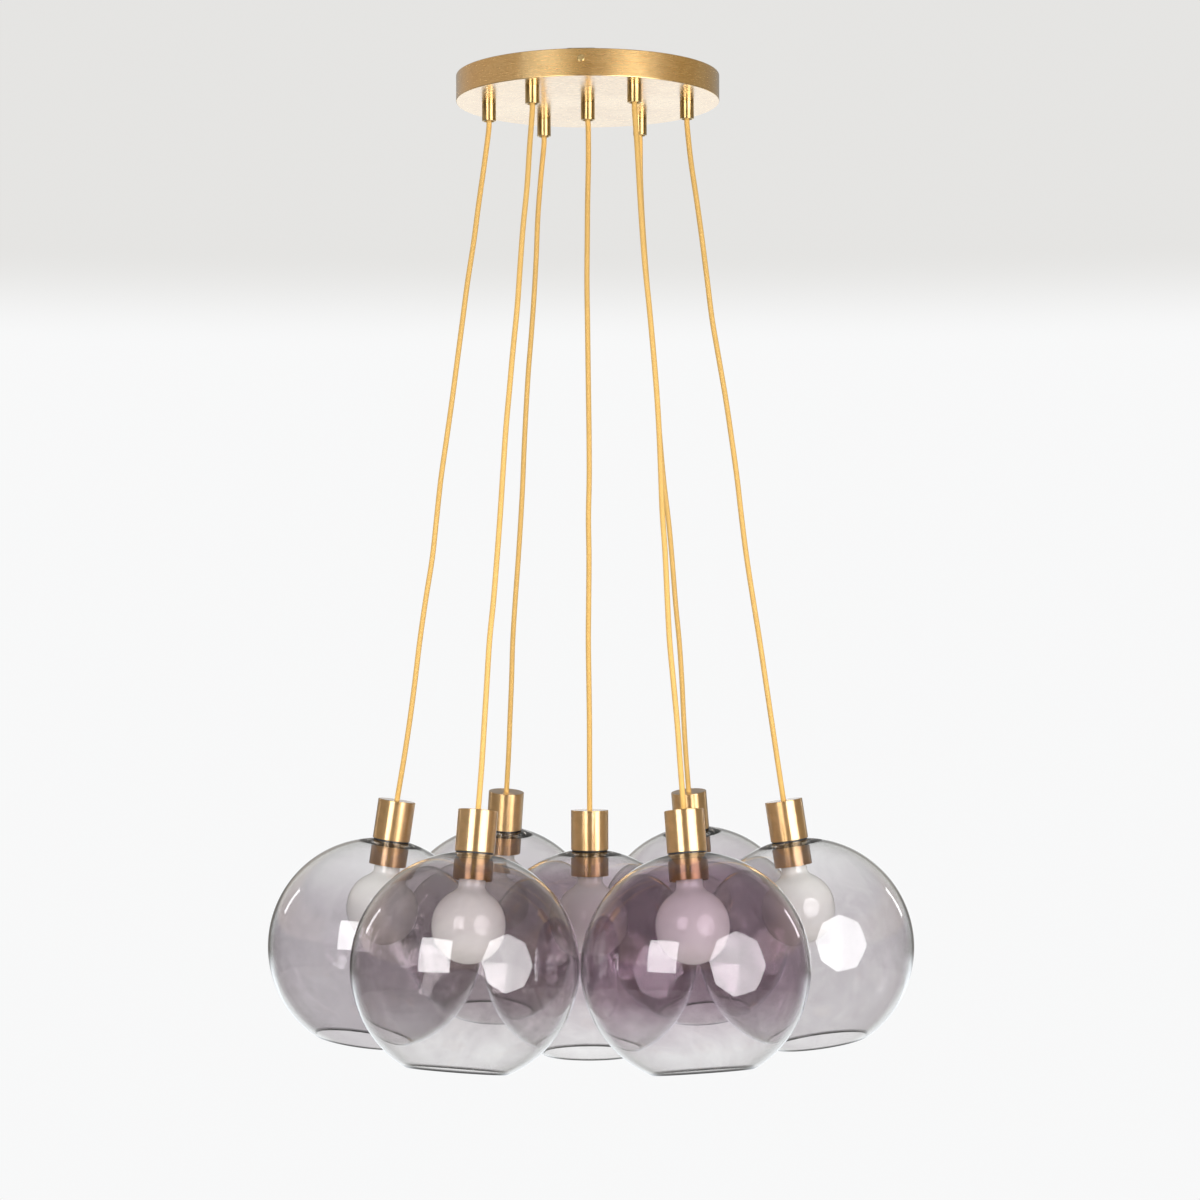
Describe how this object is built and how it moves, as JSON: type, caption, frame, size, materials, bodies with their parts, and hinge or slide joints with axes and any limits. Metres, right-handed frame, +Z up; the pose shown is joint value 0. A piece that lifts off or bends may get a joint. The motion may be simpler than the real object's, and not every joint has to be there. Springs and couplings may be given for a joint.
{
  "type": "cluster pendant",
  "caption": "Ceiling cluster pendant: smoked glass globes with opal bulbs in brass lampholders, hung on braided cords from a round brass canopy; lamps swing and turn, bulbs unscrew.",
  "frame": {"origin": "centre of the steel bracket's top face, on the ceiling", "axes": "+Z up out of the ceiling face, -Y towards the front of the cluster, +X to its right"},
  "size_m": [0.7328, 0.6672, 1.1131],
  "materials": {
    "brushed_brass": "circular brushed and lacquered, slightly mottled",
    "turned_brass": "fine turned satin",
    "plain_brass": "plain machined",
    "zinc_steel": "zinc plated",
    "white_nylon": "moulded nylon",
    "black_phenolic": "moulded phenolic, semi-matt",
    "gold_braid": "woven rayon braid with a soft sheen",
    "smoked_glass": "clear smoked amethyst-grey, polished",
    "opal_glass": "white opal, glossy",
    "nickel_cap": "rolled thread, bright"
  },
  "bodies": {
    "canopy": {"ceiling_bracket": "zinc_steel", "canopy": "brushed_brass", "rim_screws": "turned_brass", "cord_grips": "turned_brass", "grip_nipples": "plain_brass", "grip_locknuts": "zinc_steel", "cord_collets": "white_nylon", "cord_tails": "gold_braid", "terminal_block": "white_nylon", "terminal_screws": "plain_brass", "earth_clamp": "plain_brass", "cord_centre": "gold_braid"},
    "pendant_left": {"cord_left": "gold_braid"},
    "lamp_left": {"holder_cup_left": "turned_brass", "lampholder_left": "black_phenolic", "shade_ring_left": "turned_brass", "globe_left": "smoked_glass"},
    "bulb_left": {"bulb_glass_left": "opal_glass", "bulb_cap_left": "nickel_cap"},
    "pendant_right": {"cord_right": "gold_braid"},
    "lamp_right": {"holder_cup_right": "turned_brass", "lampholder_right": "black_phenolic", "shade_ring_right": "turned_brass", "globe_right": "smoked_glass"},
    "bulb_right": {"bulb_glass_right": "opal_glass", "bulb_cap_right": "nickel_cap"},
    "pendant_front_left": {"cord_front_left": "gold_braid"},
    "lamp_front_left": {"holder_cup_front_left": "turned_brass", "lampholder_front_left": "black_phenolic", "shade_ring_front_left": "turned_brass", "globe_front_left": "smoked_glass"},
    "bulb_front_left": {"bulb_glass_front_left": "opal_glass", "bulb_cap_front_left": "nickel_cap"},
    "pendant_front_right": {"cord_front_right": "gold_braid"},
    "lamp_front_right": {"holder_cup_front_right": "turned_brass", "lampholder_front_right": "black_phenolic", "shade_ring_front_right": "turned_brass", "globe_front_right": "smoked_glass"},
    "bulb_front_right": {"bulb_glass_front_right": "opal_glass", "bulb_cap_front_right": "nickel_cap"},
    "pendant_back_left": {"cord_back_left": "gold_braid"},
    "lamp_back_left": {"holder_cup_back_left": "turned_brass", "lampholder_back_left": "black_phenolic", "shade_ring_back_left": "turned_brass", "globe_back_left": "smoked_glass"},
    "bulb_back_left": {"bulb_glass_back_left": "opal_glass", "bulb_cap_back_left": "nickel_cap"},
    "pendant_back_right": {"cord_back_right": "gold_braid"},
    "lamp_back_right": {"holder_cup_back_right": "turned_brass", "lampholder_back_right": "black_phenolic", "shade_ring_back_right": "turned_brass", "globe_back_right": "smoked_glass"},
    "bulb_back_right": {"bulb_glass_back_right": "opal_glass", "bulb_cap_back_right": "nickel_cap"},
    "lamp_centre": {"holder_cup_centre": "turned_brass", "lampholder_centre": "black_phenolic", "shade_ring_centre": "turned_brass", "globe_centre": "smoked_glass"},
    "bulb_centre": {"bulb_glass_centre": "opal_glass", "bulb_cap_centre": "nickel_cap"}
  },
  "joints": [
    {"name": "swing_left", "type": "hinge", "parent": "canopy", "child": "pendant_left", "pos_m": [-0.113, 0, -0.045], "axis": [0, 1, 0], "range_deg": [0, 20]},
    {"name": "turn_left", "type": "hinge", "parent": "pendant_left", "child": "lamp_left", "pos_m": [-0.21979, 0, -0.826], "axis": [-0.1478, 0, -0.989], "range_deg": [-90, 90]},
    {"name": "bulb_left_screw", "type": "slide", "parent": "lamp_left", "child": "bulb_left", "axis": [-0.1478, 0, -0.989], "range_m": [0, 0.024]},
    {"name": "swing_right", "type": "hinge", "parent": "canopy", "child": "pendant_right", "pos_m": [0.113, 0, -0.045], "axis": [0, -1, 0], "range_deg": [0, 20]},
    {"name": "turn_right", "type": "hinge", "parent": "pendant_right", "child": "lamp_right", "pos_m": [0.21979, 0, -0.826], "axis": [0.1478, 0, -0.989], "range_deg": [-90, 90]},
    {"name": "bulb_right_screw", "type": "slide", "parent": "lamp_right", "child": "bulb_right", "axis": [0.1478, 0, -0.989], "range_m": [0, 0.024]},
    {"name": "swing_front_left", "type": "hinge", "parent": "canopy", "child": "pendant_front_left", "pos_m": [-0.0565, -0.09786, -0.045], "axis": [-0.866, 0.5, 0], "range_deg": [0, 20]},
    {"name": "turn_front_left", "type": "hinge", "parent": "pendant_front_left", "child": "lamp_front_left", "pos_m": [-0.1099, -0.19035, -0.826], "axis": [-0.0739, -0.128, -0.989], "range_deg": [-90, 90]},
    {"name": "bulb_front_left_screw", "type": "slide", "parent": "lamp_front_left", "child": "bulb_front_left", "axis": [-0.0739, -0.128, -0.989], "range_m": [0, 0.024]},
    {"name": "swing_front_right", "type": "hinge", "parent": "canopy", "child": "pendant_front_right", "pos_m": [0.0565, -0.09786, -0.045], "axis": [-0.866, -0.5, 0], "range_deg": [0, 20]},
    {"name": "turn_front_right", "type": "hinge", "parent": "pendant_front_right", "child": "lamp_front_right", "pos_m": [0.1099, -0.19035, -0.826], "axis": [0.0739, -0.128, -0.989], "range_deg": [-90, 90]},
    {"name": "bulb_front_right_screw", "type": "slide", "parent": "lamp_front_right", "child": "bulb_front_right", "axis": [0.0739, -0.128, -0.989], "range_m": [0, 0.024]},
    {"name": "swing_back_left", "type": "hinge", "parent": "canopy", "child": "pendant_back_left", "pos_m": [-0.0565, 0.09786, -0.045], "axis": [0.866, 0.5, 0], "range_deg": [0, 20]},
    {"name": "turn_back_left", "type": "hinge", "parent": "pendant_back_left", "child": "lamp_back_left", "pos_m": [-0.1099, 0.19035, -0.826], "axis": [-0.0739, 0.128, -0.989], "range_deg": [-90, 90]},
    {"name": "bulb_back_left_screw", "type": "slide", "parent": "lamp_back_left", "child": "bulb_back_left", "axis": [-0.0739, 0.128, -0.989], "range_m": [0, 0.024]},
    {"name": "swing_back_right", "type": "hinge", "parent": "canopy", "child": "pendant_back_right", "pos_m": [0.0565, 0.09786, -0.045], "axis": [0.866, -0.5, 0], "range_deg": [0, 20]},
    {"name": "turn_back_right", "type": "hinge", "parent": "pendant_back_right", "child": "lamp_back_right", "pos_m": [0.1099, 0.19035, -0.826], "axis": [0.0739, 0.128, -0.989], "range_deg": [-90, 90]},
    {"name": "bulb_back_right_screw", "type": "slide", "parent": "lamp_back_right", "child": "bulb_back_right", "axis": [0.0739, 0.128, -0.989], "range_m": [0, 0.024]},
    {"name": "turn_centre", "type": "hinge", "parent": "canopy", "child": "lamp_centre", "pos_m": [0, 0, -0.837], "axis": [0, 0, -1], "range_deg": [-90, 90]},
    {"name": "bulb_centre_screw", "type": "slide", "parent": "lamp_centre", "child": "bulb_centre", "axis": [0, 0, -1], "range_m": [0, 0.024]}
  ]
}
